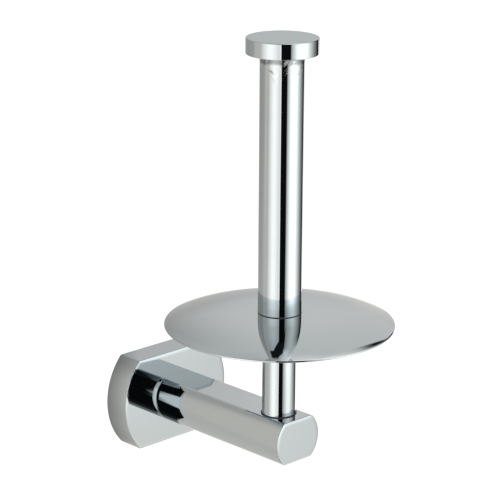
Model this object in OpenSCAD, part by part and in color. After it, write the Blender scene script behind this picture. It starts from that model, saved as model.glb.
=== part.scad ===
// Wall-mounted post that holds one toilet roll upright.
// A hidden bracket is screwed to the wall. A hollow cover drops over its boss and is
// clamped by a grub screw from below. The cover carries a flattened bar, the bar carries
// a short stem, and the stem carries a domed plate, a tall tube and a round cap.
// The wall is the plane Y = 0, the bar points to -Y and its axis is X = 0, Z = 0.

/* [Wall cover] */
// Diameter of the cover's round outline
cover_d = 71; // [66:0.5:80]
// Height between the two flats of the cover
cover_h = 49; // [46:0.5:54]
// How far the cover stands off the wall
cover_depth = 15; // [14:0.5:20]
// Thickness of the cover's side wall
cover_wall = 2.5; // [1.5:0.1:3.5]
// Thickness of the cover's front
cover_front = 3; // [2:0.1:4]
// Rounding of the cover's front edge
cover_edge = 1; // [0.2:0.1:1.5]
// Thickness of the two pads that bear on the boss from above and below
pad_t = 3.7; // [2.5:0.1:5]
// Thickness of the two ribs beside the boss
rib_t = 2.5; // [1.5:0.1:4]
// Running gap between the boss and the socket around it
socket_gap = 0.3; // [0.1:0.05:0.5]

/* [Wall bracket] */
// Thickness of the plate that lies on the wall
plate_t = 2.5; // [1.5:0.1:4]
// Height of the plate
plate_h = 22; // [16:0.5:30]
// Gap between the plate's round ends and the cover's inside
plate_room = 4; // [1:0.5:6]
// Distance from the end of the plate to the centre of a wall screw hole
screw_margin = 7; // [5:0.5:8]
// Diameter of the wall screw holes
wall_screw_d = 5; // [4:0.1:6]
// Width of the boss
boss_w = 24; // [20:0.5:26]
// Gap between the boss and the inside of the cover's front
boss_room = 2; // [1:0.1:3]
// Gap between the socket and the plate behind it
rib_room = 0.5; // [0.3:0.1:1.5]
// Gap between the arm screw's head and the pocket in the boss
pocket_room = 1; // [0.5:0.1:2]

/* [Grub screw] */
// Thread diameter of the grub screw
grub_d = 5; // [4:0.5:6]
// How far the grub screw sits inside the cover's lower flat
grub_recess = 0.4; // [0.2:0.1:1]
// Gap between the grub screw's tip and the boss
grub_tip_gap = 0.1; // [0.05:0.05:0.3]
// Width across the flats of its key socket
grub_key = 2.5; // [2:0.5:3]
// Depth of its key socket
grub_key_depth = 2.8; // [2:0.1:3.5]

/* [Arm] */
// Diameter of the bar before its flats are cut
arm_d = 29.5; // [28:0.5:34]
// Height between the bar's two flats
arm_h = 22.3; // [20:0.1:23]
// Length of the bar from the cover to its free end
arm_l = 91; // [80:1:120]
// Rounding of the free end's edge
arm_edge = 0.8; // [0.2:0.1:1.5]
// Distance from the free end to the post's axis
post_setback = 14; // [12:0.5:20]

/* [Screws] */
// Thread diameter of the screws that hold the bar and the stem
screw_d = 6; // [5:0.5:7]
// Head diameter of those screws
screw_head_d = 10; // [9:0.5:11]
// Length of the arm screw under its head
arm_screw_l = 20; // [16:1:30]
// Head height of the arm screw
arm_screw_head_h = 4; // [3:0.5:4.5]
// Thickness of the spring washer under the arm screw's head
spring_washer_t = 1.6; // [1:0.1:2]
// Width of the slit in the spring washer
spring_washer_slit = 0.8; // [0.5:0.1:1.5]
// Length of the post screw under its head
post_screw_l = 25; // [22:1:30]
// Head height of the post screw
post_screw_head_h = 6; // [5:0.5:7]
// Thickness of the flat washer under the post screw's head
flat_washer_t = 1.2; // [0.8:0.1:1.6]
// How far the flat washer stands out past the head
flat_washer_lip = 1; // [0.5:0.1:1.2]
// Gap between the flat washer and the recess around it
recess_room = 0.6; // [0.3:0.1:1]
// Depth of the recess in the bar's underside
recess_depth = 9; // [8.5:0.1:11]
// Width across the flats of both key sockets
screw_key = 5; // [4:0.5:5]
// Depth of both key sockets
screw_key_depth = 2.5; // [1.5:0.1:2.8]
// Diameter of the two dowels that stop the bar turning
dowel_d = 3; // [2:0.5:4]
// Length of a dowel
dowel_l = 8; // [6:0.5:12]
// Distance of a dowel from the bar's axis
dowel_x = 9; // [8:0.5:10]
// How far a dowel's back end sits inside the cover's front
dowel_sink = 0.5; // [0:0.1:1]

/* [Stem] */
// Diameter of the stem
stem_d = 17; // [14:0.5:18]
// Length of the stem
stem_l = 51.5; // [45:0.1:70]
// Thickness of the dark washer under the stem
stem_washer_t = 0.3; // [0.2:0.1:1]
// How far that washer stands out past the stem
stem_washer_lip = 0.6; // [0:0.1:0.9]
// Diameter of the stud that joins the stem to the tube
stud_d = 8; // [6:0.5:10]
// Length of that stud
stud_l = 30; // [26:1:40]
// How deep that stud sits in the stem
stud_depth = 14; // [10:0.5:16]

/* [Roll plate] */
// Diameter of the domed plate
dish_d = 115.2; // [100:0.1:140]
// Thickness of its sheet
dish_t = 1.2; // [0.8:0.1:2]
// How far its rim hangs below its middle
dish_drop = 5.5; // [3:0.25:10]
// How late the dome falls away: 2 is a round bowl, more is flatter in the middle
dish_power = 3.5; // [2:0.25:5]
// Margin of the flat seat around the tube's foot
dish_seat_margin = 1; // [0.5:0.5:4]
// Thickness of the gasket under the plate
lower_gasket_t = 0.5; // [0.3:0.1:1]
// Thickness of the gasket between the plate and the tube
upper_gasket_t = 0.3; // [0.2:0.1:1]

/* [Tube] */
// Outer diameter of the tube
tube_d = 22; // [19:0.5:28]
// Length of the tube
tube_l = 130; // [100:1:160]
// Wall thickness of the tube
tube_wall = 1.2; // [0.8:0.1:2]
// Length of the plug brazed into the tube's foot
foot_plug_l = 16; // [14:0.5:24]
// Length of the plug brazed into the tube's head
head_plug_l = 14; // [12:0.5:20]

/* [Cap] */
// Diameter of the cap
cap_d = 35.8; // [30:0.1:44]
// Height of the cap
cap_h = 8; // [7:0.5:14]
// Rounding of the cap's edges
cap_edge = 0.5; // [0.2:0.1:1.5]
// Length of the stud that joins the tube to the cap
cap_stud_l = 14; // [10:0.5:15]
// How far that stud reaches into the cap
cap_stud_depth = 5; // [3:0.5:5.5]

/* [Fits] */
// Gap all round between a thread and its tapped hole
thread_gap = 0.05; // [0.02:0.01:0.1]
// Gap all round between a screw and a plain hole that it passes through
pass_gap = 0.2; // [0.1:0.05:0.4]
// Gap all round between a plug and the tube, or between a dowel and its hole
plug_gap = 0.05; // [0.02:0.01:0.1]
// Spare depth of a blind hole past the end of what goes in it
drill_room = 1; // [0.5:0.1:2]

/* [Hidden] */
$fn = 96;

// What a cut runs past the faces that it opens
over = 1;
// Steps of the dome's curve from its seat to its rim
dome_steps = 20;

// Finishes
chrome = [0.80, 0.82, 0.84];
zinc = [0.62, 0.64, 0.66];
steel = [0.50, 0.52, 0.55];
brass = [0.78, 0.64, 0.36];
nylon = [0.12, 0.12, 0.13];

// Cover and bracket, measured from the wall
plate_d = cover_d - 2 * (cover_wall + plate_room);
screw_spacing = plate_d - 2 * screw_margin;
front_inside = cover_depth - cover_front;
boss_depth = front_inside - boss_room;
socket_h = cover_h - 2 * (cover_wall + pad_t);
boss_h = socket_h - 2 * socket_gap;
socket_w = boss_w + 2 * socket_gap;
socket_back = plate_t + rib_room;
pocket_floor = front_inside - spring_washer_t - arm_screw_head_h - pocket_room;
grub_low = -cover_h / 2 + grub_recess;
grub_high = -boss_h / 2 - grub_tip_gap;
grub_out = (socket_back + boss_depth) / 2;

// Bar and post
arm_end = cover_depth + arm_l;
post_out = arm_end - post_setback;
recess_top = recess_depth - arm_h / 2;
flat_washer_d = screw_head_d + 2 * flat_washer_lip;
post_screw_seat = recess_top - flat_washer_t;

// Heights up the post
stem_low = arm_h / 2 + stem_washer_t;
stem_high = stem_low + stem_l;
dish_low = stem_high + lower_gasket_t;
dish_high = dish_low + dish_t;
tube_low = dish_high + upper_gasket_t;
tube_high = tube_low + tube_l;
stem_screw_depth = post_screw_seat + post_screw_l - stem_low + drill_room;
dish_seat_r = tube_d / 2 + dish_seat_margin;
tube_bore_d = tube_d - 2 * tube_wall;

// Half of a round slug's outline, edge_low and edge_high being the roundings of its ends
module slug_outline(r, h, edge_low, edge_high) {
    translate([0, edge_low])
        square([r, h - edge_low - edge_high]);
    square([r - edge_low, h]);
    square([r - edge_high, h]);
    if (edge_low > 0)
        translate([r - edge_low, edge_low])
            circle(edge_low);
    if (edge_high > 0)
        translate([r - edge_high, h - edge_high])
            circle(edge_high);
}

// Round slug on the Z axis with rounded ends
module slug(d, h, edge_low, edge_high) {
    rotate_extrude()
        intersection() {
            slug_outline(d / 2, h, edge_low, edge_high);
            square([d, h]);
        }
}

// Slug cut by two flats, with the same rounding where the flats meet the far end
module flatted_slug(d, flats, h, edge) {
    intersection() {
        slug(d, h, 0, edge);
        rotate([90, 0, 90])
            linear_extrude(height = 2 * d, center = true)
                union() {
                    slug_outline(flats / 2, h, 0, edge);
                    mirror([1, 0])
                        slug_outline(flats / 2, h, 0, edge);
                }
    }
}

// Turns what stands on Z so that it stands off the wall, its own Y becoming up
module off_wall() {
    rotate([90, 0, 0])
        children();
}

// Places what stands on Z on the post's axis at a given height
module on_post(z) {
    translate([0, -post_out, z])
        children();
}

// Hexagon key socket that opens at Z = 0 and goes down
module key_socket(flats, depth) {
    translate([0, 0, -depth])
        cylinder(h = depth + over, r = flats / 2 / cos(30), $fn = 6);
}

// Cap screw whose head stands on Z = 0, its shank below
module cap_screw(d, length, head_d, head_h) {
    difference() {
        union() {
            cylinder(h = head_h, d = head_d);
            translate([0, 0, -length])
                cylinder(h = length + head_h / 2, d = d);
        }
        translate([0, 0, head_h])
            key_socket(screw_key, screw_key_depth);
    }
}

// Flat ring standing on Z = 0
module ring(outer_d, inner_d, t) {
    difference() {
        cylinder(h = t, d = outer_d);
        translate([0, 0, -over])
            cylinder(h = t + 2 * over, d = inner_d);
    }
}

// Plate on the wall, with the boss that carries the cover
module wall_bracket() {
    color(zinc)
        off_wall()
            difference() {
                union() {
                    intersection() {
                        cylinder(h = plate_t, d = plate_d);
                        translate([-plate_d / 2, -plate_h / 2, 0])
                            cube([plate_d, plate_h, plate_t]);
                    }
                    translate([-boss_w / 2, -boss_h / 2, 0])
                        cube([boss_w, boss_h, boss_depth]);
                }
                for (side = [-1, 1])
                    translate([side * screw_spacing / 2, 0, -over])
                        cylinder(h = plate_t + 2 * over, d = wall_screw_d);
                translate([0, 0, pocket_floor])
                    cylinder(h = boss_depth, d = screw_head_d + 2 * pocket_room);
            }
}

// Hollow cover with the socket that drops over the boss
module wall_cover() {
    color(chrome)
        difference() {
            off_wall()
                difference() {
                    flatted_slug(cover_d, cover_h, cover_depth, cover_edge);
                    cover_hollow();
                    translate([0, 0, front_inside - over])
                        cylinder(h = cover_front + 2 * over, d = screw_d + 2 * pass_gap);
                    dowel_places()
                        translate([0, 0, -over])
                            cylinder(h = cover_front + 2 * over, d = dowel_d + 2 * plug_gap);
                }
            translate([0, -grub_out, -cover_h / 2 - over])
                cylinder(h = cover_h / 2, d = grub_d + 2 * thread_gap);
        }
}

// What is taken out of the cover from behind: everything inside its walls but the socket
module cover_hollow() {
    translate([0, 0, -over])
        difference() {
            intersection() {
                cylinder(h = front_inside + over, d = cover_d - 2 * cover_wall);
                translate([-cover_d, -cover_h / 2 + cover_wall, 0])
                    cube([2 * cover_d, cover_h - 2 * cover_wall, front_inside + over]);
            }
            translate([-socket_w / 2 - rib_t, -cover_h / 2, over + socket_back])
                difference() {
                    cube([socket_w + 2 * rib_t, cover_h, front_inside]);
                    translate([rib_t, (cover_h - socket_h) / 2, -over])
                        cube([socket_w, socket_h, front_inside + 2 * over]);
                }
        }
}

// Puts a copy at each dowel, standing on the inside of the cover's front
module dowel_places() {
    for (side = [-1, 1])
        translate([side * dowel_x, 0, front_inside])
            children();
}

// Grub screw, its key socket facing down and its flat tip under the boss
module grub_screw() {
    color(steel)
        translate([0, -grub_out, grub_low])
            difference() {
                cylinder(h = grub_high - grub_low, d = grub_d);
                mirror([0, 0, 1])
                    key_socket(grub_key, grub_key_depth);
            }
}

// Flattened bar, tapped at its back and bored through under the post
module arm() {
    color(chrome)
        difference() {
            off_wall()
                translate([0, 0, cover_depth])
                    flatted_slug(arm_d, arm_h, arm_l, arm_edge);
            off_wall() {
                translate([0, 0, cover_depth - over])
                    cylinder(
                        h = arm_screw_l - cover_front - spring_washer_t + drill_room + over,
                        d = screw_d + 2 * thread_gap
                    );
                dowel_places()
                    cylinder(h = dowel_sink + dowel_l + drill_room, d = dowel_d + 2 * plug_gap);
            }
            on_post(-arm_h / 2 - over)
                cylinder(h = recess_depth + over, d = flat_washer_d + 2 * recess_room);
            on_post(-arm_h / 2)
                cylinder(h = arm_h + over, d = screw_d + 2 * pass_gap);
        }
}

// Screw that pulls the bar against the cover's front, from inside the cover
module arm_screw() {
    color(steel)
        off_wall()
            translate([0, 0, front_inside - spring_washer_t])
                mirror([0, 0, 1])
                    cap_screw(screw_d, arm_screw_l, screw_head_d, arm_screw_head_h);
}

// Split spring washer under the arm screw's head
module spring_washer() {
    color(steel)
        off_wall()
            translate([0, 0, front_inside - spring_washer_t])
                difference() {
                    ring(screw_head_d, screw_d + 2 * pass_gap, spring_washer_t);
                    translate([0, -spring_washer_slit / 2, -over])
                        cube([screw_head_d, spring_washer_slit, spring_washer_t + 2 * over]);
                }
}

// Two dowels across the joint between cover and bar
module dowels() {
    color(steel)
        off_wall()
            dowel_places()
                translate([0, 0, dowel_sink])
                    cylinder(h = dowel_l, d = dowel_d);
}

// Screw that goes up through the bar into the stem
module post_screw() {
    color(steel)
        on_post(post_screw_seat)
            mirror([0, 0, 1])
                cap_screw(screw_d, post_screw_l, screw_head_d, post_screw_head_h);
}

// Flat washer under the post screw's head
module flat_washer() {
    color(steel)
        on_post(post_screw_seat)
            ring(flat_washer_d, screw_d + 2 * pass_gap, flat_washer_t);
}

// Thin dark washer between bar and stem
module stem_washer() {
    color(nylon)
        on_post(arm_h / 2)
            ring(stem_d + 2 * stem_washer_lip, screw_d + 2 * pass_gap, stem_washer_t);
}

// Short stem, tapped at both ends
module stem() {
    color(chrome)
        on_post(stem_low)
            difference() {
                cylinder(h = stem_l, d = stem_d);
                translate([0, 0, -over])
                    cylinder(h = stem_screw_depth + over, d = screw_d + 2 * thread_gap);
                translate([0, 0, stem_l - stud_depth - drill_room])
                    cylinder(h = stud_depth + drill_room + over, d = stud_d + 2 * thread_gap);
            }
}

// Stud from the stem through the plate into the tube's foot
module post_stud() {
    color(brass)
        on_post(stem_high - stud_depth)
            cylinder(h = stud_l, d = stud_d);
}

// Gasket between stem and plate
module lower_gasket() {
    color(nylon)
        on_post(stem_high)
            ring(stem_d, stud_d + 2 * pass_gap, lower_gasket_t);
}

// Height of the dome's top at a radius, its seat being 0
function dome_z(r) =
    r <= dish_seat_r
        ? 0
        : -dish_drop * pow((r - dish_seat_r) / (dish_d / 2 - dish_seat_r), dish_power);

// Domed plate: one sheet, flat in the middle and falling to its rim
module roll_plate() {
    bore_r = stud_d / 2 + pass_gap;
    curve = [
        for (step = [0 : dome_steps])
            let (r = dish_seat_r + (dish_d / 2 - dish_seat_r) * step / dome_steps)
                [r, dome_z(r)]
    ];
    top = concat([[bore_r, 0]], curve);
    bottom = [for (i = [len(top) - 1 : -1 : 0]) top[i] - [0, dish_t]];
    color(chrome)
        on_post(dish_high)
            rotate_extrude()
                polygon(concat(top, bottom));
}

// Gasket between plate and tube
module upper_gasket() {
    color(nylon)
        on_post(dish_high)
            ring(tube_d, stud_d + 2 * pass_gap, upper_gasket_t);
}

// Tall tube that the roll's core goes over
module post_tube() {
    color(chrome)
        on_post(tube_low)
            ring(tube_d, tube_bore_d, tube_l);
}

// Tapped plug in the tube's foot
module foot_plug() {
    color(brass)
        on_post(tube_low)
            ring(tube_bore_d - 2 * plug_gap, stud_d + 2 * thread_gap, foot_plug_l);
}

// Tapped plug in the tube's head
module head_plug() {
    color(brass)
        on_post(tube_high - head_plug_l)
            ring(tube_bore_d - 2 * plug_gap, screw_d + 2 * thread_gap, head_plug_l);
}

// Stud from the tube's head into the cap
module cap_stud() {
    color(brass)
        on_post(tube_high + cap_stud_depth - cap_stud_l)
            cylinder(h = cap_stud_l, d = screw_d);
}

// Round cap with rounded edges, tapped from below
module end_cap() {
    color(chrome)
        on_post(tube_high)
            difference() {
                slug(cap_d, cap_h, cap_edge, cap_edge);
                translate([0, 0, -over])
                    cylinder(
                        h = cap_stud_depth + thread_gap + over,
                        d = screw_d + 2 * thread_gap
                    );
            }
}

wall_bracket();
wall_cover();
grub_screw();
arm();
arm_screw();
spring_washer();
dowels();
post_screw();
flat_washer();
stem_washer();
stem();
post_stud();
lower_gasket();
roll_plate();
upper_gasket();
post_tube();
foot_plug();
head_plug();
cap_stud();
end_cap();
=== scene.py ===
"""Studio scene of a wall-mounted toilet roll holder with an upright post.

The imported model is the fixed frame. Every piece that shows is a fine surface worked out from
a few sizes, and stands for the plain solid of the same place. Hidden plugs, studs and dowels
keep their solids and get a finish.
"""
import math

import bpy
import numpy as np
from bpy.props import FloatProperty, FloatVectorProperty, PointerProperty
from mathutils import Matrix, Vector


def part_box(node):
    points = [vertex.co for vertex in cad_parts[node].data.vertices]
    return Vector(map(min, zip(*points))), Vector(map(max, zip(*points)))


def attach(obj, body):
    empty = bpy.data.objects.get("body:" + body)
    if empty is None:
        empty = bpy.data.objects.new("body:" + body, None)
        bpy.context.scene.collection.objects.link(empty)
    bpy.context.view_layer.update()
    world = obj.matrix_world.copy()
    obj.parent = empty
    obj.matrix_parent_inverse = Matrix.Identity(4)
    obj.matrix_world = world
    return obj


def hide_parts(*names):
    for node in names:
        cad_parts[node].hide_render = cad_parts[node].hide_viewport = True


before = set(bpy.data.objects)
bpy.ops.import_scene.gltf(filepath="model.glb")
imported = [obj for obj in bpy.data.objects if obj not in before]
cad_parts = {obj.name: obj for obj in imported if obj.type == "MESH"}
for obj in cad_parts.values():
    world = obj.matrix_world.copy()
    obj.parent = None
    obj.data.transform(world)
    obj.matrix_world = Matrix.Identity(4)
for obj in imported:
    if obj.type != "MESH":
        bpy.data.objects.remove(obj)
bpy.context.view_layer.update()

bl_info = {
    "name": "Upright toilet roll holder",
    "version": (1, 0, 0),
    "blender": (4, 5, 0),
    "location": "3D View > Sidebar > Roll holder",
    "description": "Builds a chrome toilet roll holder with an upright post and its studio",
    "category": "Add Mesh",
}

MM = 0.001
HOLDER = "holder"
BRACKET = "bracket"
CLAMP_SCREW = "clamp_screw"
# Steps from a lid's rim to its middle, steps of the bar's narrowing at the cover, points
# round a screw, and degrees between two points of the light tent
LID_STEPS = 5
JOINT_STEPS = 8
SCREW_POINTS = 96
TENT_STEP = 4


def span(node):
    """Width, depth and height of a frame node."""
    low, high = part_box(node)
    return high - low


def middle(node):
    """Centre of a frame node's box."""
    low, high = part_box(node)
    return (low + high) / 2


POST = middle("post_tube")
COVER_DEPTH = -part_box("wall_cover")[0].y


def length(name, description, default, low=0.0, high=0.5):
    """Length property in metres, shown in the scene's own unit."""
    return FloatProperty(
        name=name, description=description, default=default,
        min=low, max=high, unit="LENGTH", precision=5,
    )


def share(name, description, default, low=0.0, high=1.0):
    """Plain number property between two bounds."""
    return FloatProperty(name=name, description=description, default=default, min=low, max=high)


def power(name, description, default):
    """Power property in watts."""
    return FloatProperty(
        name=name, description=description, default=default, min=0.0, unit="POWER"
    )


def turn(name, description, default):
    """Angle property; its default is given in degrees."""
    return FloatProperty(
        name=name, description=description, default=math.radians(default), unit="ROTATION"
    )


def colour(name, description, default):
    """Linear colour property."""
    return FloatVectorProperty(
        name=name, description=description, default=default,
        size=3, min=0.0, max=1.0, subtype="COLOR",
    )


class HolderSizes(bpy.types.PropertyGroup):
    """Sizes of what the frame's boxes don't give."""

    cover_corner: length("Cover corner", "Rounding where the round side meets a flat", 1.6 * MM)
    cover_edge: length("Cover edge", "Rounding of the cover's front edge", 0.3 * MM)
    cover_rim: length("Cover rim", "Rounding of the cover's back rim", 0.3 * MM)
    cover_wall: length("Cover wall", "Thickness of the cover's side", 2.5 * MM)
    cover_front: length("Cover front", "Thickness of the cover's front", 3.0 * MM)
    pad_thickness: length("Pad", "Thickness of the pads above and below the boss", 3.7 * MM)
    rib_thickness: length("Rib", "Thickness of the ribs beside the boss", 2.5 * MM)
    socket_gap: length("Socket gap", "Gap between the boss and its socket", 0.3 * MM)
    rib_back: length("Rib back", "Distance from the wall to the back of the socket", 3.0 * MM)
    plate_thickness: length("Plate", "Thickness of the bracket's plate", 2.5 * MM)
    plate_height: length("Plate height", "Height of the bracket's plate", 22.0 * MM)
    boss_width: length("Boss width", "Width of the bracket's boss", 24.0 * MM)
    pocket_radius: length("Pocket", "Radius of the pocket in the boss", 6.0 * MM)
    pocket_floor: length("Pocket floor", "Distance from the wall to the pocket's floor", 5.4 * MM)
    hole_spacing: length("Hole spacing", "Distance between the wall screw holes", 44.0 * MM)
    hole_radius: length("Hole radius", "Radius of the wall screw holes", 2.5 * MM)
    cast_edge: length("Cast edge", "Rounding of the bracket's cast edges", 0.4 * MM)
    arm_corner: length("Arm corner", "Rounding where the bar's round side meets a flat", 2.0 * MM)
    arm_edge: length("Arm edge", "Rounding of the bar's free end", 0.3 * MM)
    arm_joint: length("Arm joint", "Rounding of the bar's flats at the cover", 0.12 * MM)
    buffed_width: length("Buffed width", "Width of the band that buffing has rounded off", 1.9 * MM)
    buffed_tilt: turn("Buffed tilt", "How far the face tilts by that edge", 6.5)
    joint_width: length("Joint width", "Length of the round sides that narrows there", 2.45 * MM)
    joint_tilt: turn("Joint tilt", "How far those sides tilt at the cover", 16.0)
    recess_radius: length("Recess", "Radius of the recess in the bar's underside", 6.6 * MM)
    recess_depth: length("Recess depth", "Depth of that recess", 9.0 * MM)
    screw_bore: length("Screw bore", "Radius of the plain hole round a screw", 3.2 * MM)
    thread_gap: length("Thread gap", "Gap between the grub screw and its hole", 0.05 * MM)
    turned_edge: length("Turned edge", "Edge break of the stem and the tube", 0.1 * MM)
    washer_edge: length("Washer edge", "Edge break of washers and gaskets", 0.08 * MM)
    tube_wall: length("Tube wall", "Wall of the tube", 1.2 * MM)
    plate_sheet: length("Plate sheet", "Thickness of the roll plate's sheet", 1.2 * MM)
    plate_seat: length("Plate seat", "Radius of the roll plate's flat middle", 12.0 * MM)
    plate_bore: length("Plate bore", "Radius of the roll plate's hole", 4.2 * MM)
    plate_power: share("Plate power", "How late the dome falls away towards its rim", 3.5, 1.5, 8.0)
    cap_edge: length("Cap edge", "Rounding of the cap's edges", 0.5 * MM)
    screw_radius: length("Screw radius", "Radius of the two cap screws", 3.0 * MM)
    screw_pitch: length("Screw pitch", "Pitch of their thread", 1.0 * MM)
    screw_key: length("Screw key", "Width across the flats of their key socket", 5.0 * MM)
    head_edge: length("Head edge", "Rounding of the top of their heads", 0.5 * MM)
    post_screw_shank: length("Post screw", "Length of the post screw below its head", 25.0 * MM)
    arm_screw_shank: length("Arm screw", "Length of the arm screw below its head", 20.0 * MM)
    grub_pitch: length("Grub pitch", "Pitch of the grub screw's thread", 0.8 * MM)
    grub_key: length("Grub key", "Width across the flats of its key socket", 2.5 * MM)
    key_depth: length("Key depth", "Depth of the key sockets", 2.5 * MM)


class HolderFinish(bpy.types.PropertyGroup):
    """Colours and finishes."""

    chrome: colour("Chrome", "Mirror plating", (0.520, 0.580, 0.615))
    chrome_roughness: share("Chrome roughness", "Blur of the mirror plating", 0.012)
    chrome_wave: share("Chrome wave", "Height of the polish's slow waves", 0.03)
    # Also sets part of the strength of the painted shade band under the cap
    wear_and_shade: share("Handling marks", "Strength of the rubbed marks below the cap", 0.75)
    zinc: colour("Zinc", "Plated casting of the bracket", (0.50, 0.51, 0.52))
    steel: colour("Steel", "Zinc-plated screws", (0.56, 0.57, 0.59))
    brass: colour("Brass", "Plugs and studs", (0.72, 0.54, 0.26))
    nylon: colour("Nylon", "Washers and gaskets", (0.030, 0.031, 0.034))


class HolderStudio(bpy.types.PropertyGroup):
    """Camera, world, floor, lamps, light tent and wall shade."""

    camera_azimuth: turn("Camera azimuth", "0 looks along +Y", -44.24)
    camera_elevation: turn("Camera elevation", "Height above the horizon", 16.62)
    camera_roll: turn("Camera roll", "Turn about the line of sight", 0.37)
    camera_distance: length("Camera distance", "From the point looked at", 1.1542, 0.1, 10.0)
    camera_lens: share("Camera lens", "Focal length in millimetres on a 36 mm sensor", 148.9, 20, 300)
    look_x: length("Look at X", "Point looked at", 0.0790, -1.0, 1.0)
    look_y: length("Look at Y", "Point looked at", 0.0106, -1.0, 1.0)
    look_z: length("Look at Z", "Point looked at", 0.0581, -1.0, 1.0)
    world_level: share("World level", "Strength at which the white world lights", 0.60)
    key_power: power("Key power", "Power of the lamp on the left", 12.0)
    fill_power: power("Fill power", "Power of the lamp on the right", 6.0)
    floor_height: length("Floor height", "Height of the studio floor", -1.30, -2.0, 0.0)
    floor_radius: length("Floor radius", "Radius of the studio floor", 16.0, 0.5, 30.0)
    tent_radius: length("Tent radius", "Distance of the light tent's cloth", 1.15, 0.3, 3.0)
    tent_height: length("Tent height", "Height of the light tent's middle", 0.091, -1.0, 1.0)
    tent_grey: colour("Tent grey", "Tone of the light tent outside its zones", (0.60, 0.56, 0.52))
    shade_strength: share("Shade strength", "Cover of the wall shade where it is darkest", 0.60)
    shade_start: length("Shade start", "Distance from the cover's axis where it fades", 36.0 * MM)
    shade_end: length("Shade end", "Distance from the cover's axis where it is gone", 51.0 * MM)
    shade_left: length("Shade left", "Distance left of the axis where it is full", 30.0 * MM)
    shade_right: length("Shade right", "Distance left of the axis where it is gone", 12.0 * MM)


def scene_sizes():
    """The sizes group of the current scene."""
    return bpy.context.scene.holder_sizes


def scene_finish():
    """The finish group of the current scene."""
    return bpy.context.scene.holder_finish


def scene_studio():
    """The studio group of the current scene."""
    return bpy.context.scene.holder_studio


# Paths: a path is a pair (points, normals) of arrays of 2D vectors

def directions(start, stop, steps):
    """Unit vectors at even angles from start to stop, both ends included."""
    angle = np.linspace(start, stop, steps + 1)
    return np.stack([np.cos(angle), np.sin(angle)], 1)


def rounded(corners, steps=6, closed=False):
    """Path through corners, each (out, up, radius), where an arc of that radius stands for the corner.

    On each arc the normal turns evenly from one side's normal to the next's, and the point is
    the arc's centre plus radius times normal. The normal is the right-hand one of the way along.
    """
    spots = np.array([c[:2] for c in corners], float)
    count = len(corners)
    points, normals = [], []
    for i, (_, _, radius) in enumerate(corners):
        before, after = spots[(i - 1) % count], spots[(i + 1) % count]
        if not closed and i in (0, count - 1):
            way = (spots[1] - spots[0]) if i == 0 else (spots[-1] - spots[-2])
            way = way / np.linalg.norm(way)
            points.append([spots[i]])
            normals.append([(way[1], -way[0])])
            continue
        way_in = (spots[i] - before) / np.linalg.norm(spots[i] - before)
        way_out = (after - spots[i]) / np.linalg.norm(after - spots[i])
        swing = math.atan2(
            way_in[0] * way_out[1] - way_in[1] * way_out[0], float(way_in @ way_out)
        )
        start = math.atan2(-way_in[0], way_in[1])
        angle = start + np.linspace(0.0, swing, (steps if radius > 0 else 1) + 1)
        normal = np.stack([np.cos(angle), np.sin(angle)], 1)
        side = math.copysign(radius, swing)
        tangent = radius * math.tan(abs(swing) / 2)
        centre = spots[i] - way_in * tangent - side * normal[0]
        points.append(centre + side * normal)
        normals.append(normal)
    if closed:
        points.append(points[0][:1])
        normals.append(normals[0][:1])
    return np.concatenate(points), np.concatenate(normals)


def spread(path, longest):
    """The same path with straight stretches cut so that no step is longer than that."""
    points, normals = path
    step = np.linalg.norm(np.diff(points, axis=0), axis=1)
    cuts = np.maximum(np.ceil(step / longest).astype(int), 1)
    at = np.concatenate([i + np.arange(n) / n for i, n in enumerate(cuts)] + [[len(step)]])
    low = np.minimum(at.astype(int), len(step) - 1)
    part = (at - low)[:, None]
    blend = normals[low] * (1 - part) + normals[low + 1] * part
    return (
        points[low] * (1 - part) + points[low + 1] * part,
        blend / np.maximum(np.linalg.norm(blend, axis=1, keepdims=True), 1e-12),
    )


def buffed_end(height, edge, width, tilt, steps=6):
    """End of a path from a side at out 0 to a face at a height, the face rounded off by buffing.

    An arc of the edge's radius turns the normal from 0 to 90 degrees less the tilt, and a wide
    arc of radius width / sin(tilt) turns it on to 90 degrees, where it meets the flat face.
    """
    wide = width / math.sin(tilt)
    middle_out = edge * math.sin(tilt) - edge - width
    small = directions(0.0, math.pi / 2 - tilt, steps)
    large = directions(math.pi / 2 - tilt, math.pi / 2, steps)
    wide_arc = np.array([middle_out, height - wide]) + wide * large
    small_arc = wide_arc[0] + edge * (small - small[-1])
    return np.concatenate([small_arc, wide_arc]), np.concatenate([small, large])


def circle(radius, count):
    """Circle, anticlockwise from +X, with its outward normals."""
    angle = np.linspace(0.0, 2 * math.pi, count, endpoint=False)
    normal = np.stack([np.cos(angle), np.sin(angle)], 1)
    return radius * normal, normal


def flatted(radius, flat, corner, stops, steps=8, round_steps=72):
    """Circle cut by flats at plus and minus flat, its four corners rounded, anticlockwise.

    A corner's arc touches the circle inside and the flat, so its centre lies radius - corner
    from the middle and corner below the flat. Stops are where the flats have points.
    """
    height = flat - corner
    reach = math.sqrt((radius - corner) ** 2 - height**2)
    meet = math.atan2(height, reach)

    def bend(centre, size, start, stop, count):
        """Arc of the outline without its last point."""
        normal = directions(start, stop, count)[:-1]
        return np.asarray(centre) + size * normal, normal

    along = np.concatenate([[reach], np.sort(stops)[::-1]])
    top = np.stack([along, np.full(len(along), flat)], 1), np.tile([0.0, 1.0], (len(along), 1))
    quarter, half = math.pi / 2, math.pi
    parts = [
        bend((0, 0), radius, -meet, meet, round_steps),
        bend((reach, height), corner, meet, quarter, steps),
        top,
        bend((-reach, height), corner, quarter, half - meet, steps),
        bend((0, 0), radius, half - meet, half + meet, round_steps),
        bend((-reach, -height), corner, half + meet, half + quarter, steps),
        (-top[0], -top[1]),
        bend((reach, -height), corner, -quarter, -meet, steps),
    ]
    return np.concatenate([p for p, _ in parts]), np.concatenate([n for _, n in parts])


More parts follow.
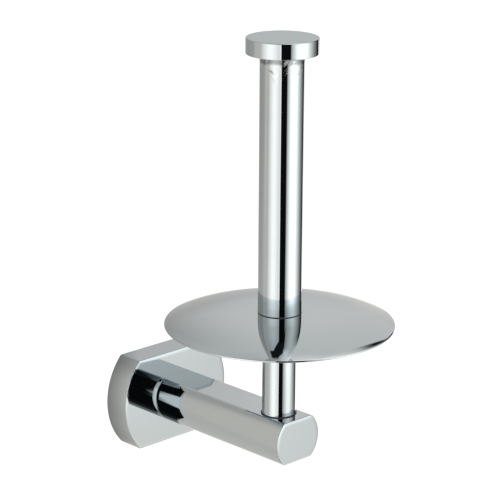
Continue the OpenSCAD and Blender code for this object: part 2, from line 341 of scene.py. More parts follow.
def box_outline(width, height, corner, longest=2 * MM):
    """Rectangle with rounded corners, anticlockwise, without its closing point."""
    x, y = width / 2, height / 2
    corners = [(x, -y, corner), (x, y, corner), (-x, y, corner), (-x, -y, corner)]
    points, normals = spread(rounded(corners, closed=True), longest)
    return points[:-1], normals[:-1]


# Surfaces: a surface is a pair (points, normals) of rows of 3D vectors, its rows closed
# rings. A third entry, keep, may say which of its quads stay.

def turned(path, count=256, angles=None):
    """Path of (radius, height) turned about +Z: point = radius (cos, sin), height."""
    points, normals = path
    if angles is None:
        angles = np.linspace(0.0, 2 * math.pi, count, endpoint=False)
    around = np.stack([np.cos(angles), np.sin(angles), np.zeros(len(angles))], 1)
    up = np.array([0.0, 0.0, 1.0])
    return (
        points[:, :1, None] * around + points[:, 1:, None] * up,
        normals[:, :1, None] * around + normals[:, 1:, None] * up,
    )


def carried(outline_at, path):
    """Path of (out, up) carried round an outline: at each row the outline is grown by out."""
    points, normals = path
    rings = [outline_at(out) for out in points[:, 0]]
    flat = np.array([r[0] for r in rings])
    side = np.array([r[1] for r in rings])
    height = np.broadcast_to(points[:, 1][:, None, None], flat.shape[:2] + (1,))
    rise = np.broadcast_to(normals[:, 1][:, None, None], flat.shape[:2] + (1,))
    return (
        np.concatenate([flat, height], 2),
        np.concatenate([side * normals[:, 0][:, None, None], rise], 2),
    )


def carried_pair(outline_at, round_path, flat_path, flat_share):
    """As carried, but the outline's round sides follow one path and its flats another.

    Both paths have as many points. Point and normal of a ring are the round path's times
    (1 - share) plus the flat path's times share, the share growing from 0 to 1 over a corner.
    """
    share_of = flat_share[:, None]
    rows, sides = [], []
    for (out, up), (n_out, n_up), (flat_out, flat_up), (fn_out, fn_up) in zip(*round_path, *flat_path):
        ring, around = outline_at(out, flat_out)
        height = up * (1 - share_of) + flat_up * share_of
        across = n_out * (1 - share_of) + fn_out * share_of
        rise = n_up * (1 - share_of) + fn_up * share_of
        rows.append(np.concatenate([ring, height], 1))
        normal = np.concatenate([around * across, rise], 1)
        sides.append(normal / np.linalg.norm(normal, axis=1, keepdims=True))
    return np.array(rows), np.array(sides)


def lid(ring, normal, inwards):
    """Flat rings from a ring to its middle, or from the middle to the ring."""
    share_left = np.linspace(1.0, 0.0, LID_STEPS + 1)[:, None, None]
    centre = ring.mean(0)
    rows = centre + (ring - centre) * share_left
    if not inwards:
        rows = rows[::-1]
    return rows, np.broadcast_to(np.asarray(normal, float), rows.shape)


def bridge(ring_a, ring_b, normal, steps=4):
    """Flat rings that pass evenly from one ring to another of as many points."""
    part = np.linspace(0.0, 1.0, steps + 1)[:, None, None]
    rows = ring_a * (1 - part) + ring_b * part
    return rows, np.broadcast_to(np.asarray(normal, float), rows.shape)


def stacked(*surfaces):
    """Surfaces one after another as one, their rows having as many points."""
    return np.concatenate([s[0] for s in surfaces]), np.concatenate([s[1] for s in surfaces])


def moved(surface, axes=None, offset=(0, 0, 0)):
    """Surface seen in other axes (the images of X, Y and Z) and shifted."""
    points, normals, *keep = surface
    matrix = np.eye(3) if axes is None else np.array(axes, float)
    return points @ matrix + np.asarray(offset, float), normals @ matrix, *keep


# The images of a surface's own X, Y and Z
OFF_WALL = ((1, 0, 0), (0, 0, 1), (0, -1, 0))
UPSIDE_DOWN = ((1, 0, 0), (0, -1, 0), (0, 0, -1))
HEAD_TO_WALL = ((1, 0, 0), (0, 0, -1), (0, 1, 0))


def faces_between(points, keep=None, first=0):
    """Quads between neighbouring points of closed rings, as corner numbers.

    Quad (i, j) has the corners (i, j), (i, j+1), (i+1, j+1), (i+1, j), rings closing on themselves.
    """
    rows, cols = points.shape[:2]
    i, j = np.meshgrid(np.arange(rows - 1), np.arange(cols), indexing="ij")
    if keep is not None:
        i, j = i[keep], j[keep]
    i, j = i.ravel(), j.ravel()
    after = (j + 1) % cols
    quads = np.stack([i * cols + j, i * cols + after, (i + 1) * cols + after, (i + 1) * cols + j], 1)
    return quads + first


def merged_points(points):
    """For each point the number of its place, and for each place its first point.

    Points are equal where they round to the same cell of a grid, shifted so that round
    measures don't fall on the border between two cells.
    """
    cell, shift = 1e-4 * MM, 0.37
    near = np.round(points / cell + shift).astype(np.int64)
    _, first, place = np.unique(near, axis=0, return_index=True, return_inverse=True)
    return place.reshape(-1), first


def wound_faces(quads, place, points, normals):
    """Quads as triangles and quads, each wound to agree with its corners' normals.

    A quad with two neighbouring corners in one place is a triangle, and one with fewer than
    three places or with opposite corners in one place goes.
    """
    corner = place[quads]
    fresh = corner != np.roll(corner, 1, axis=1)
    sides = fresh.sum(1)
    crossed = (corner[:, 0] == corner[:, 2]) | (corner[:, 1] == corner[:, 3])
    usable = (sides > 2) & ~crossed
    fresh, quads, sides = fresh[usable], quads[usable], sides[usable]
    polygons = []
    for size in (3, 4):
        faces = quads[sides == size][fresh[sides == size]].reshape(-1, size)
        p = points[faces]
        if size == 3:
            facing = np.cross(p[:, 1] - p[:, 0], p[:, 2] - p[:, 0])
        else:
            facing = np.cross(p[:, 2] - p[:, 0], p[:, 3] - p[:, 1])
        wrong = (facing * normals[faces].sum(1)).sum(1) < 0
        faces[wrong] = faces[wrong][:, ::-1]
        polygons.append(faces)
    return polygons


def placed(name, data):
    """Object of that name and data, linked to the scene."""
    made = bpy.data.objects.new(name, data)
    bpy.context.scene.collection.objects.link(made)
    return made


def skin(name, surfaces, body, replaces, slot, handled=False, crease=None):
    """One closed mesh from surfaces (points, normals[, keep]); equal points are merged.

    Corners keep the surfaces' own normals, so flats mirror flat and roundings turn evenly.
    With crease, an angle, the normals come from the mesh and edges past it stay sharp.
    """
    first, points, normals, quads = 0, [], [], []
    for surface in surfaces:
        quads.append(faces_between(surface[0], surface[2] if len(surface) > 2 else None, first))
        points.append(surface[0].reshape(-1, 3))
        normals.append(surface[1].reshape(-1, 3))
        first += len(points[-1])
    points, normals, quads = map(np.concatenate, (points, normals, quads))
    place, chosen = merged_points(points)
    polygons = wound_faces(quads, place, points, normals)

    loops = np.concatenate([faces.ravel() for faces in polygons])
    sizes = np.concatenate([np.full(len(faces), faces.shape[1]) for faces in polygons])
    starts = np.concatenate([[0], np.cumsum(sizes)[:-1]])
    mesh = bpy.data.meshes.new(name)
    mesh.vertices.add(len(chosen))
    mesh.vertices.foreach_set("co", points[chosen].astype(np.float32).ravel())
    mesh.loops.add(len(loops))
    mesh.loops.foreach_set("vertex_index", place[loops].astype(np.int32))
    mesh.polygons.add(len(sizes))
    mesh.polygons.foreach_set("loop_start", starts.astype(np.int32))
    mesh.update(calc_edges=True)
    mesh.shade_smooth()
    if crease is None:
        mesh.normals_split_custom_set(normals[loops].astype(np.float32))
    else:
        mesh.set_sharp_from_angle(angle=crease)
    mesh.materials.append(material_of(slot, handled))
    piece = placed(name, mesh)
    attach(piece, body)
    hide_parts(*replaces)
    return piece


# Materials

def node(tree, kind, place, settings=None, inputs=None):
    """New shader node with its settings and socket values."""
    made = tree.nodes.new(kind)
    made.location = place
    for key, value in (settings or {}).items():
        setattr(made, key, value)
    for key, value in (inputs or {}).items():
        made.inputs[key].default_value = value
    return made


def empty_material(name):
    """Material with nothing in its node tree, and that tree."""
    material = bpy.data.materials.new(name)
    material.use_nodes = True
    material.node_tree.nodes.clear()
    return material, material.node_tree


def metal_material(name, metallic):
    """Material of one principled shader: the material, its tree and the shader."""
    material, tree = empty_material(name)
    shader = node(tree, "ShaderNodeBsdfPrincipled", (300, 0), None, {"Metallic": metallic})
    output = node(tree, "ShaderNodeOutputMaterial", (600, 0))
    tree.links.new(shader.outputs["BSDF"], output.inputs["Surface"])
    return material, tree, shader


def noise(tree, place, scale, detail, stretch=(1.0, 1.0, 1.0), lean=0.0):
    """Noise on Object coordinates, in metres, leaned about X and Y, then stretched along the axes."""
    where = node(tree, "ShaderNodeTexCoord", (place[0] - 400, place[1]))
    mapping = node(
        tree, "ShaderNodeMapping", (place[0] - 200, place[1]), {"vector_type": "TEXTURE"},
        {"Rotation": (lean, lean, 0.0), "Scale": tuple(1.0 / value for value in stretch)},
    )
    made = node(tree, "ShaderNodeTexNoise", place, None, {"Scale": scale, "Detail": detail})
    tree.links.new(where.outputs["Object"], mapping.inputs["Vector"])
    tree.links.new(mapping.outputs["Vector"], made.inputs["Vector"])
    return made.outputs["Fac"]


def ranged(tree, place, value, low, high, to_low=0.0, to_high=1.0, smooth=False):
    """Value taken from one range to another, held at its ends."""
    made = node(
        tree, "ShaderNodeMapRange", place,
        {"interpolation_type": "SMOOTHSTEP" if smooth else "LINEAR"},
        {"From Min": low, "From Max": high, "To Min": to_low, "To Max": to_high},
    )
    tree.links.new(value, made.inputs["Value"])
    return made.outputs["Result"]


def graded(tree, place, value, to_low=0.0, to_high=1.0):
    """Noise taken from the values that it mostly has, 0.3 to 0.7, to a range."""
    return ranged(tree, place, value, 0.3, 0.7, to_low, to_high)


def math_node(tree, place, operation, *values):
    """Values, sockets or numbers, through one operation."""
    made = node(tree, "ShaderNodeMath", place, {"operation": operation})
    for socket, value in zip(made.inputs, values):
        if isinstance(value, (int, float)):
            socket.default_value = value
        else:
            tree.links.new(value, socket)
    return made.outputs["Value"]


def product(tree, place, first, *others):
    """Values multiplied one after another."""
    for k, other in enumerate(others):
        first = math_node(tree, (place[0] + 100 * k, place[1]), "MULTIPLY", first, other)
    return first


def laid_over(tree, place, below, cover, above):
    """Colour laid over another, a colour or a socket, by a cover value."""
    made = node(tree, "ShaderNodeMix", place, {"data_type": "RGBA"})
    made.inputs["B"].default_value = (*above, 1.0)
    if isinstance(below, tuple):
        made.inputs["A"].default_value = (*below, 1.0)
    else:
        tree.links.new(below, made.inputs["A"])
    tree.links.new(cover, made.inputs["Factor"])
    return made.outputs["Result"]


def bump(tree, place, height, strength, distance):
    """Bump node on a height."""
    made = node(tree, "ShaderNodeBump", place, None, {"Strength": strength, "Distance": distance})
    tree.links.new(height, made.inputs["Height"])
    return made.outputs["Normal"]


def mixed_shader(tree, place, part, first, second):
    """Two shader sockets mixed by a value."""
    made = node(tree, "ShaderNodeMixShader", place)
    for value, socket in zip((part, first, second), made.inputs):
        tree.links.new(value, socket)
    return made.outputs["Shader"]


def object_position(tree, place):
    """Sockets of the Object coordinates as one vector, and of its X, Y and Z."""
    where = node(tree, "ShaderNodeTexCoord", place)
    split = node(tree, "ShaderNodeSeparateXYZ", (place[0] + 200, place[1]))
    tree.links.new(where.outputs["Object"], split.inputs["Vector"])
    return where.outputs["Object"], split.outputs


def shade(base, factor):
    """Colour times a factor, kept under 1."""
    return tuple(min(c * factor, 1.0) for c in base)


def make_chrome(name):
    """Mirror plating: a slow wave of the polish, a faint cloud of haze and hairline wipes."""
    finish = scene_finish()
    blur = finish.chrome_roughness
    material, tree, shader = metal_material(name, 1.0)
    cloud = noise(tree, (-500, 300), scale=45.0, detail=3.0)
    thin, full = shade(finish.chrome, 0.985), shade(finish.chrome, 1.01)
    plating = laid_over(tree, (0, 300), thin, graded(tree, (-300, 300), cloud), full)
    wipe = noise(tree, (-500, 0), scale=900.0, detail=2.0, stretch=(1.0, 1.0, 0.08))
    haze = math_node(
        tree, (-100, 0), "ADD",
        ranged(tree, (-300, 0), wipe, 0.45, 0.8, 0.0, 0.6 * blur),
        graded(tree, (-300, -150), cloud, 0.7 * blur, blur),
    )
    wave = noise(tree, (-500, -400), scale=60.0, detail=1.0)
    tree.links.new(plating, shader.inputs["Base Color"])
    tree.links.new(haze, shader.inputs["Roughness"])
    tree.links.new(
        bump(tree, (0, -400), wave, finish.chrome_wave, 0.2 * MM), shader.inputs["Normal"]
    )
    return material


def wear_and_shade_marks(tree):
    """Marks of wear and of painted shade, each with the strength of its tone, its tone and its blur.

    They are a dull film on the cap's top whose darker, bluish tone is painted shade, a dull band
    just under the cap whose dark tone is painted shade, pale rubbed smudges a little lower, and
    pale scratches and dark nicks, slanted, round the tube's head.
    """
    # Strength of the wear marks; it also sets part of the painted shade band's strength
    wear_shade = scene_finish().wear_and_shade
    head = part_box("post_tube")[1].z
    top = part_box("end_cap")[1].z
    height = object_position(tree, (-900, 900))[1]["Z"]
    edge = noise(tree, (-900, 700), scale=160.0, detail=3.0)
    ragged = graded(tree, (-700, 700), edge, -0.6 * MM, 0.6 * MM)
    uneven = math_node(tree, (-500, 800), "ADD", height, ragged)

    def below_head(at_none, at_full, value=height, smooth=True):
        """Share that grows between two depths, in millimetres, under the tube's head."""
        return ranged(
            tree, (-300, 750), value, head - at_none * MM, head - at_full * MM, smooth=smooth
        )

    def strokes(place, scale, detail, stretch, lean, low, high):
        """Slanted strokes: a stretched noise where it is high."""
        lines = noise(tree, place, scale, detail, stretch, math.radians(lean))
        return ranged(tree, (place[0] + 200, place[1]), lines, low, high, smooth=True)

    # Painted shade: the cap's top face gets a darker, bluish tone; its extra blur is a dull film
    top_film_and_shade = ranged(tree, (-300, 300), height, top - 0.08 * MM, top - 0.02 * MM)
    under_cap = below_head(0.05, 0.15, smooth=False)
    near_head = product(tree, (-100, 0), below_head(14.0, 4.0), under_cap)
    # Painted shade: a dark band with a ragged edge just under the cap's rim, also duller
    band = product(tree, (-100, 900), below_head(4.6, 3.0, uneven), under_cap)
    spots = noise(tree, (-500, 450), scale=330.0, detail=4.0)
    spots = ranged(tree, (-300, 450), spots, 0.46, 0.66, smooth=True)
    smudge = product(
        tree, (-100, 700), below_head(9.5, 6.0, uneven), below_head(3.0, 4.5, uneven), spots
    )
    scratch = strokes((-500, 150), 330.0, 2.0, (3.0, 3.0, 0.30), 24, 0.60, 0.63)
    nick = strokes((-500, 50), 300.0, 1.0, (2.4, 2.4, 0.40), -30, 0.635, 0.66)
    # The film's and the band's tones are painted shade; the smudges, scratches and nicks are wear
    return (
        (top_film_and_shade, 1.0, (0.303, 0.397, 0.442), 0.10),
        (band, 0.7 * wear_shade + 0.3, (0.20, 0.22, 0.22), 0.12),
        (smudge, wear_shade, (0.62, 0.66, 0.66), 0.30 * wear_shade),
        (product(tree, (0, 150), scratch, near_head), wear_shade, (0.78, 0.80, 0.80), 0.35 * wear_shade),
        (product(tree, (0, 50), nick, near_head), wear_shade, (0.12, 0.13, 0.13), 0.0),
    )


def make_worn_and_shaded_chrome(name):
    """The same plating with wear marks and painted shade round the cap laid over it, one after
    another.
    """
    material = make_chrome(name)
    tree = material.node_tree
    shader = next(n for n in tree.nodes if n.type == "BSDF_PRINCIPLED")
    tone_so_far = shader.inputs["Base Color"].links[0].from_socket
    blur_so_far = shader.inputs["Roughness"].links[0].from_socket
    for k, (mark, strength, tone, blur) in enumerate(wear_and_shade_marks(tree)):
        x = 500 + 200 * k
        cover = math_node(tree, (x, 1100), "MULTIPLY", mark, strength)
        tone_so_far = laid_over(tree, (x, 900), tone_so_far, cover, tone)
        more = math_node(tree, (x, 200), "MULTIPLY", mark, blur)
        blur_so_far = math_node(tree, (x, 300), "ADD", blur_so_far, more)
    tree.links.new(tone_so_far, shader.inputs["Base Color"])
    tree.links.new(blur_so_far, shader.inputs["Roughness"])
    return material


def make_grained(name, base, metallic, pattern, tones, blurs, relief):
    """Grained finish: one noise varies the base colour and the roughness, and raises the surface.

    pattern holds the noise's settings, tones the base's least and greatest factor, blurs the
    least and greatest roughness, and relief the bump's strength and depth.
    """
    material, tree, shader = metal_material(name, metallic)
    grain = noise(tree, (-500, 0), **pattern)
    dark, light = (shade(base, factor) for factor in tones)
    tone = laid_over(tree, (0, 300), dark, graded(tree, (-300, 200), grain), light)
    tree.links.new(tone, shader.inputs["Base Color"])
    tree.links.new(graded(tree, (-300, 0), grain, *blurs), shader.inputs["Roughness"])
    tree.links.new(bump(tree, (0, -300), grain, *relief), shader.inputs["Normal"])
    return material


def make_zinc(name):
    """Plated die casting: pale grey with a fine cast grain."""
    return make_grained(
        name, scene_finish().zinc, 0.9, {"scale": 700.0, "detail": 6.0},
        tones=(0.82, 1.12), blurs=(0.38, 0.55), relief=(0.35, 0.05 * MM),
    )


def make_turned(name, base, blurs):
    """Turned metal: fine rings about the piece's length, from noise squeezed along it."""
    return make_grained(
        name, base, 1.0, {"scale": 500.0, "detail": 4.0, "stretch": (0.2, 0.2, 6.0)},
        tones=(0.86, 1.06), blurs=blurs, relief=(0.2, 0.02 * MM),
    )


def make_steel(name):
    """Zinc-plated turned steel."""
    return make_turned(name, scene_finish().steel, (0.28, 0.42))


def make_brass(name):
    """Turned brass."""
    return make_turned(name, scene_finish().brass, (0.25, 0.38))


def make_nylon(name):
    """Dark moulded nylon with a dull, slightly mottled surface."""
    return make_grained(
        name, scene_finish().nylon, 0.0, {"scale": 900.0, "detail": 4.0},
        tones=(0.75, 1.4), blurs=(0.42, 0.6), relief=(0.2, 0.02 * MM),
    )


MAKERS = {
    "polished_chrome": make_chrome,
    "handled_chrome": make_worn_and_shaded_chrome,
    "cast_zinc": make_zinc,
    "screw_steel": make_steel,
    "turned_brass": make_brass,
    "dark_nylon": make_nylon,
}


def material_of(slot, handled=False):
    """The finish of a record's material slot, made once; handled gives chrome its
    variant with wear marks and painted shade round the cap.
    """
    kind = "handled_chrome" if handled else slot
    name = kind + "_finish"
    return bpy.data.materials.get(name) or MAKERS[kind](name)


# Pieces

def pierced(surface, height, at, patch, steps, mouth, flat):
    """Wall with a round hole in its lower flat and a lid at each end, and the hole's own rings.

    The flat's square patch round the hole, from height at - patch to at + patch, is cut into
    that many steps and left out. The hole's rings run from the patch's edge to the mouth's
    path and down it, turned through the bearings of the edge's points about the middle.
    """
    points, normals = surface
    low, high = (int(np.flatnonzero(np.isclose(height, at + end))[0]) for end in (-patch, patch))
    part = np.linspace(0, 1, steps + 1)[:, None, None]
    between = points[low] * (1 - part) + points[high] * part
    level = np.broadcast_to(normals[low], between.shape)
    points = np.concatenate([points[:low], between, points[high + 1:]])
    normals = np.concatenate([normals[:low], level, normals[high + 1:]])
    high = low + steps
    below = normals[low][:, 1] < -0.999
    across = points[low][:, 0]
    left, right = (
        int(np.flatnonzero(below & np.isclose(across, end))[0]) for end in (-patch, patch)
    )
    keep = np.ones((len(points) - 1, points.shape[1]), bool)
    keep[low:high, left:right] = False
    edge = np.concatenate([
        points[low, left:right],
        points[low:high, right],
        points[high, right:left:-1],
        points[high:low:-1, left],
    ])

    axes = np.array([(1, 0, 0), (0, 0, 1), (0, -1, 0)], float)
    centre = np.array([0.0, -flat, at])
    offset = edge - centre
    rings, sides = turned(rounded(mouth), angles=np.arctan2(offset @ axes[1], offset @ axes[0]))
    rings, sides = rings @ axes + centre, sides @ axes
    hole = stacked(bridge(edge, rings[0], axes[2]), (rings, sides))
    wall = stacked(
        lid(points[0], (0, 0, -1), inwards=False),
        (points, normals),
        lid(points[-1], (0, 0, 1), inwards=True),
    )
    lids = np.ones((LID_STEPS + 1, keep.shape[1]), bool)
    return wall + (np.concatenate([lids, keep, lids]),), hole


def build_cover():
    """Hollow cover: its wall's path carried round the flatted outline, with the grub screw's hole."""
    s = scene_sizes()
    size = span("wall_cover")
    radius, flat = size.x / 2, size.z / 2
    grub = -middle("grub_screw").y
    bore = span("grub_screw").x / 2 + s.thread_gap
    patch = bore + 1.4 * MM
    steps = 12
    stops = np.linspace(-patch, patch, steps + 1)
    inside = COVER_DEPTH - s.cover_front
    least_corner = 0.35 * MM
    bevel = 0.25 * MM

    def outline_at(out):
        """The cover's outline grown by out."""
        return flatted(radius + out, flat + out, max(s.cover_corner + out, least_corner), stops)

    wall = rounded([
        (-s.cover_wall, inside, 0.0),
        (-s.cover_wall, 0.0, s.cover_rim),
        (0.0, 0.0, s.cover_rim),
        (0.0, grub - patch, 0.0),
        (0.0, grub + patch, 0.0),
        (0.0, COVER_DEPTH - s.cover_edge, 0.0),
    ])
    front = buffed_end(COVER_DEPTH, s.cover_edge, s.buffed_width, s.buffed_tilt)
    path = tuple(np.concatenate(pair) for pair in zip(wall, front))
    mouth = [
        (bore + bevel, 0.0, 0.0),
        (bore, -bevel, 0.0),
        (bore, -s.cover_wall - s.pad_thickness, 0.0),
        (0.0, -s.cover_wall - s.pad_thickness, 0.0),
    ]
    shell, hole = pierced(
        carried(outline_at, path), path[0][:, 1], grub, patch, steps, mouth, flat
    )
    socket = build_socket(inside, flat)
    skin(
        "wall_cover_shell", [moved(part, OFF_WALL) for part in (shell, hole, socket)],
        HOLDER, ["wall_cover"], "polished_chrome",
    )


def build_socket(inside, flat):
    """Frame inside the cover that drops over the boss: its wall's section carried round it.

    The outer ring is the inner one, each point moved out by the frame's thickness.
    """
    s = scene_sizes()
    sink, corner = 0.3 * MM, 0.5 * MM
    width = s.boss_width + 2 * s.socket_gap
    height = 2 * (flat - s.cover_wall - s.pad_thickness)
    outer_size = np.array([width + 2 * s.rib_thickness, 2 * (flat - s.cover_wall + sink)])
    inner, facing = box_outline(width, height, corner)
    grown = np.abs(inner) + (outer_size - (width, height)) / 2
    outer = np.sign(inner) * np.minimum(grown, outer_size / 2)
    front, back = inside + sink, s.rib_back
    rows, sides = [], []
    for ring, out, up, rise in (
        (inner, -1, front, 0), (inner, -1, back, 0),
        (inner, 0, back, -1), (outer, 0, back, -1),
        (outer, 1, back, 0), (outer, 1, front, 0),
        (outer, 0, front, 1), (inner, 0, front, 1),
    ):
        rows.append(np.column_stack([ring, np.full(len(ring), up)]))
        sides.append(np.column_stack([facing * out, np.full(len(ring), float(rise))]))
    return np.array(rows), np.array(sides)


def build_bracket():
    """Wall bracket: the boss with its pocket, and a plate wing with a screw hole on each side."""
    s = scene_sizes()
    size = span("wall_bracket")
    edge, depth = s.cast_edge, size.y
    boss_corner, foot_edge, pocket_root = 1.2 * MM, 0.2 * MM, 0.3 * MM
    foot_start, brim_width = 0.3 * MM, 1.05 * edge

    def boss_at(out):
        """The boss's outline grown by out."""
        return box_outline(s.boss_width + 2 * out, size.z + 2 * out, boss_corner + out)

    block = carried(boss_at, rounded([
        (-foot_start, 0.0, 0.0), (0.0, 0.0, foot_edge),
        (0.0, depth, edge), (-brim_width, depth, 0.0),
    ]))
    brim = block[0][-1]
    pocket = turned(rounded([
        (s.pocket_radius + edge, depth, 0.0), (s.pocket_radius, depth - edge, 0.0),
        (s.pocket_radius, s.pocket_floor, pocket_root), (0.0, s.pocket_floor, 0.0),
    ]), angles=np.arctan2(brim[:, 1], brim[:, 0]))
    boss = stacked(
        lid(block[0][0], (0, 0, -1), inwards=False), block,
        bridge(brim, pocket[0][0], (0, 0, 1)), pocket,
    )
    skin(
        "wall_bracket_casting", [moved(part, OFF_WALL) for part in (boss, wing(1), wing(-1))],
        BRACKET, ["wall_bracket"], "cast_zinc", crease=math.radians(35),
    )


def wing(side):
    """One half of the plate: rings round its screw hole, from the bore out to the edge and back.

    A ring's points lie on the bearings of the outline's points about the hole's middle. The
    normals point away from a circle inside the wing, and serve only to wind the faces.
    """
    s = scene_sizes()
    radius = span("wall_bracket").x / 2
    half, thick, edge = s.plate_height / 2, s.plate_thickness, s.cast_edge
    sink, circle_radius = 0.5 * MM, (s.hole_radius + 8 * MM) / 2
    sweep = math.asin(half / radius)
    angle = np.linspace(-sweep, sweep, 24)
    end = radius * np.stack([np.cos(angle), np.sin(angle)], 1)
    root = s.boss_width / 2 - sink
    corners = [(root, half, 0.0), (root, -half, 0.0)] + [(x, y, 0.0) for x, y in end]
    outline = spread(rounded(corners, closed=True), 1.5 * MM)[0][:-1]
    centre = np.array([s.hole_spacing / 2, 0.0])
    far = np.linalg.norm(outline - centre, axis=1)[:, None]
    bearing = (outline - centre) / far
    bore = np.full_like(far, s.hole_radius)
    points = np.array([
        np.column_stack([centre + bearing * reach, np.full(len(outline), up)])
        for reach, up in (
            (bore, edge), (bore, thick - edge), (bore + edge, thick),
            (far - edge, thick), (far, thick - edge), (far, 0.0),
            (bore + edge, 0.0), (bore, edge),
        )
    ])
    points[..., 0] *= side
    if side < 0:
        points = points[:, ::-1]
    away = points - np.array([side * s.hole_spacing / 2, 0.0, thick / 2])
    flat = np.linalg.norm(away[..., :2], axis=2, keepdims=True)
    within = np.concatenate([away[..., :2] / flat, np.zeros_like(flat)], 2)
    normals = away - within * circle_radius
    return points, normals / np.linalg.norm(normals, axis=2, keepdims=True)


def build_arm():
    """Flattened bar: its path carried round the flatted outline, with the recess below the post.

    At the cover its round sides narrow along one arc and its flats along another. A point's
    share of the flats' arc grows with the steepness of its normal over the corners.
    """
    s = scene_sizes()
    size = span("arm")
    radius, flat, reach = size.x / 2, size.z / 2, size.y
    post = -POST.y - COVER_DEPTH
    patch = s.recess_radius + 1.0 * MM
    steps = 16
    stops = np.linspace(-patch, patch, steps + 1)
    least_corner = 0.3 * MM
    bevel, root = 0.3 * MM, 0.2 * MM
    bore_end = -s.recess_depth - 4 * MM

    def outline_at(out, flat_out=None):
        """The bar's outline, its round sides grown by out and its flats by flat_out."""
        flat_out = out if flat_out is None else flat_out
        corner = max(s.arm_corner + out, least_corner)
        return flatted(radius + out, flat + flat_out, corner, stops)

    tilted = directions(-s.joint_tilt, 0.0, JOINT_STEPS)
    wide = s.joint_width / math.sin(s.joint_tilt)
    round_joint = wide * (tilted - np.array([1.0, -math.sin(s.joint_tilt)])), tilted
    tilted = directions(-math.pi / 2, 0.0, JOINT_STEPS)
    flat_joint = s.arm_joint * (tilted - np.array([1.0, -1.0])), tilted
    least = (flat - s.arm_corner) / (radius - s.arm_corner)
    steepness = np.abs(outline_at(0.0)[1][:, 1])
    flatness = np.clip((steepness - least) / (1 - least), 0.0, 1.0)
    joint = carried_pair(outline_at, round_joint, flat_joint, flatness)

    side = rounded([
        (0.0, post - patch, 0.0), (0.0, post + patch, 0.0), (0.0, reach - s.arm_edge, 0.0)
    ])
    end = buffed_end(reach, s.arm_edge, s.buffed_width, s.buffed_tilt)
    path = tuple(np.concatenate(pair) for pair in zip(side, end))
    height = np.concatenate([np.full(len(joint[0]), -1.0), path[0][:, 1]])
    mouth = [
        (s.recess_radius + bevel, 0.0, 0.0), (s.recess_radius, -bevel, 0.0),
        (s.recess_radius, -s.recess_depth, root), (s.screw_bore, -s.recess_depth, 0.0),
        (s.screw_bore, bore_end, 0.0), (0.0, bore_end, 0.0),
    ]
    bar, hole = pierced(
        stacked(joint, carried(outline_at, path)), height, post, patch, steps, mouth, flat
    )
    offset = (0, -COVER_DEPTH, 0)
    skin(
        "flattened_arm", [moved(part, OFF_WALL, offset) for part in (bar, hole)],
        HOLDER, ["arm"], "polished_chrome",
    )


def slug_path(radius, low, high, edge):
    """Path of a solid round piece from its lower middle to its upper middle."""
    corners = [(0, low, 0), (radius, low, edge), (radius, high, edge), (0, high, 0)]
    return spread(rounded(corners), 8 * MM)


def ring_path(radius, bore, low, high, edge):
    """Closed path of a ring's wall, from its bore round to its outside."""
    return rounded(
        [(bore, low, edge), (radius, low, edge), (radius, high, edge), (bore, high, edge)],
        steps=3, closed=True,
    )


def turn_piece(name, node_name, path, slot, count=256, handled=False):
    """Piece turned about the post's axis, in place of a frame node."""
    surface = moved(turned(path, count), offset=(POST.x, POST.y, 0))
    skin(name, [surface], HOLDER, [node_name], slot, handled)


def build_stem():
    """Short round stem with a fine edge break."""
    low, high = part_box("stem")
    path = slug_path((high.x - low.x) / 2, low.z, high.z, scene_sizes().turned_edge)
    turn_piece("turned_stem", "stem", path, "polished_chrome")


def build_washers():
    """Thin dark washer under the stem, the two gaskets and the steel washer in the recess."""
    s = scene_sizes()
    for name, node_name, bore, slot in (
        ("stem_foot_washer", "stem_washer", s.screw_bore, "dark_nylon"),
        ("plate_lower_gasket", "lower_gasket", s.plate_bore, "dark_nylon"),
        ("plate_upper_gasket", "upper_gasket", s.plate_bore, "dark_nylon"),
        ("recess_washer", "flat_washer", s.screw_bore, "screw_steel"),
    ):
        low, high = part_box(node_name)
        path = ring_path((high.x - low.x) / 2, bore, low.z, high.z, s.washer_edge)
        turn_piece(name, node_name, path, slot, 128)


def build_roll_plate():
    """Domed plate: a middle line offset by half the sheet to both sides, its rim a half circle.

    The middle line is level out to the seat and then falls by drop times
    ((r - seat) / (rim - seat)) to a power.
    """
    s = scene_sizes()
    low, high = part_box("roll_plate")
    half, seat = s.plate_sheet / 2, s.plate_seat
    rim = min(high.x - POST.x, POST.x - low.x) - half
    drop = high.z - low.z - s.plate_sheet
    r = np.concatenate([np.linspace(s.plate_bore, seat, 6)[:-1], np.linspace(seat, rim, 90)])
    part = np.clip((r - seat) / (rim - seat), 0, 1)
    z = high.z - half - drop * part**s.plate_power
    slope = -drop * s.plate_power * part ** (s.plate_power - 1) / (rim - seat)
    slope[r < seat] = 0.0
    up = np.stack([-slope, np.ones_like(slope)], 1) / np.hypot(slope, 1.0)[:, None]
    line = np.stack([r, z], 1)
    start = math.atan2(up[-1, 1], up[-1, 0])
    nose = directions(start - math.pi, start, 16)[1:-1]
    wall = np.array([[-1.0, 0.0]])
    top, under = line + half * up, line - half * up
    points = np.concatenate([top[:1], under[:1], under, line[-1] + half * nose, top[::-1]])
    normals = np.concatenate([wall, wall, -up, nose, up[::-1]])
    turn_piece("domed_roll_plate", "roll_plate", (points, normals), "polished_chrome", 384)


def build_tube():
    """Tall tube, open inside, with a fine edge break at both ends."""
    s = scene_sizes()
    low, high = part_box("post_tube")
    radius = (high.x - low.x) / 2
    wall = ring_path(radius, radius - s.tube_wall, low.z, high.z, s.turned_edge)
    # Its chrome carries the wear marks and the painted shade band under the cap
    turn_piece("tall_tube", "post_tube", spread(wall, 10 * MM), "polished_chrome", handled=True)


